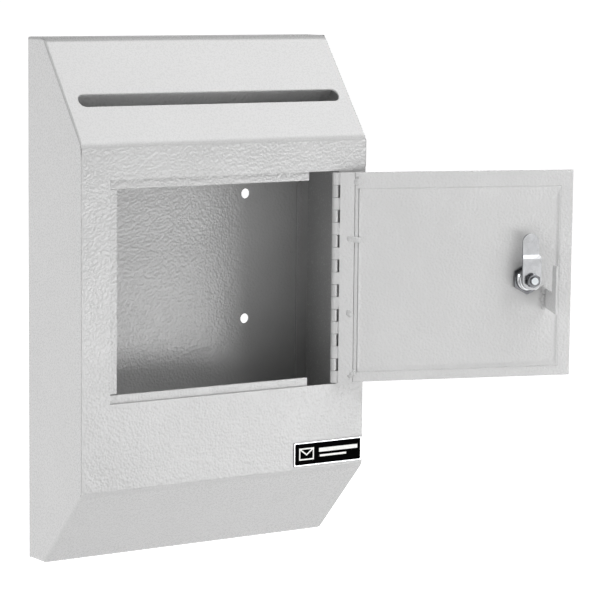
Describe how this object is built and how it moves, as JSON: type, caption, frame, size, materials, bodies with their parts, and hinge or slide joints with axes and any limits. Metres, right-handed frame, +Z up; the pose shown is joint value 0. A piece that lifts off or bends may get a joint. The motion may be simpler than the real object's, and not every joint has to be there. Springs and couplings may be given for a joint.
{
  "type": "donation box",
  "caption": "Wall-mounted painted steel donation box with a deposit slot in its sloping top and a hinged, cam-locked collection door.",
  "frame": {"origin": "centre of the four wall bolts, on the back face of the box", "axes": "+X to the viewer's right, +Y into the wall, +Z up"},
  "size_m": [0.4202, 0.1625, 0.406],
  "materials": {
    "grey_powder_coat": "fine hammertone powder coat, satin",
    "zinc_plate": "bright zinc and chrome plate",
    "brass": "stamped brass",
    "plate_silver": "satin aluminium",
    "plate_black": "black gloss print"
  },
  "bodies": {
    "box": {"front_shell": "grey_powder_coat", "left_side_panel": "grey_powder_coat", "right_side_panel": "grey_powder_coat", "back_panel": "grey_powder_coat", "deposit_deflector": "grey_powder_coat", "stop_strip_top": "grey_powder_coat", "stop_strip_left": "grey_powder_coat", "stop_strip_bottom": "grey_powder_coat", "hinge_frame_leaf": "grey_powder_coat", "hinge_pin": "zinc_plate", "nameplate": "plate_silver", "nameplate_field": "plate_black"},
    "door": {"door_panel": "grey_powder_coat", "hinge_door_leaf": "grey_powder_coat", "cam_guard_bracket": "grey_powder_coat", "lock_body": "zinc_plate", "lock_nut": "zinc_plate"},
    "lock_core": {"lock_plug": "zinc_plate", "lock_wafers": "brass", "stop_washer": "zinc_plate", "lock_cam": "zinc_plate", "tooth_washer": "zinc_plate", "cam_nut": "zinc_plate"}
  },
  "joints": [
    {"name": "door_hinge", "type": "hinge", "parent": "box", "child": "door", "pos_m": [0.0995, -0.0844, -0.011], "axis": [0, 0, 1], "range_deg": [-162.5, 17.5]},
    {"name": "lock_turn", "type": "hinge", "parent": "door", "child": "lock_core", "pos_m": [0.254, -0.13311, -0.015], "axis": [0.3007, 0.9537, 0], "range_deg": [0, 90]}
  ]
}
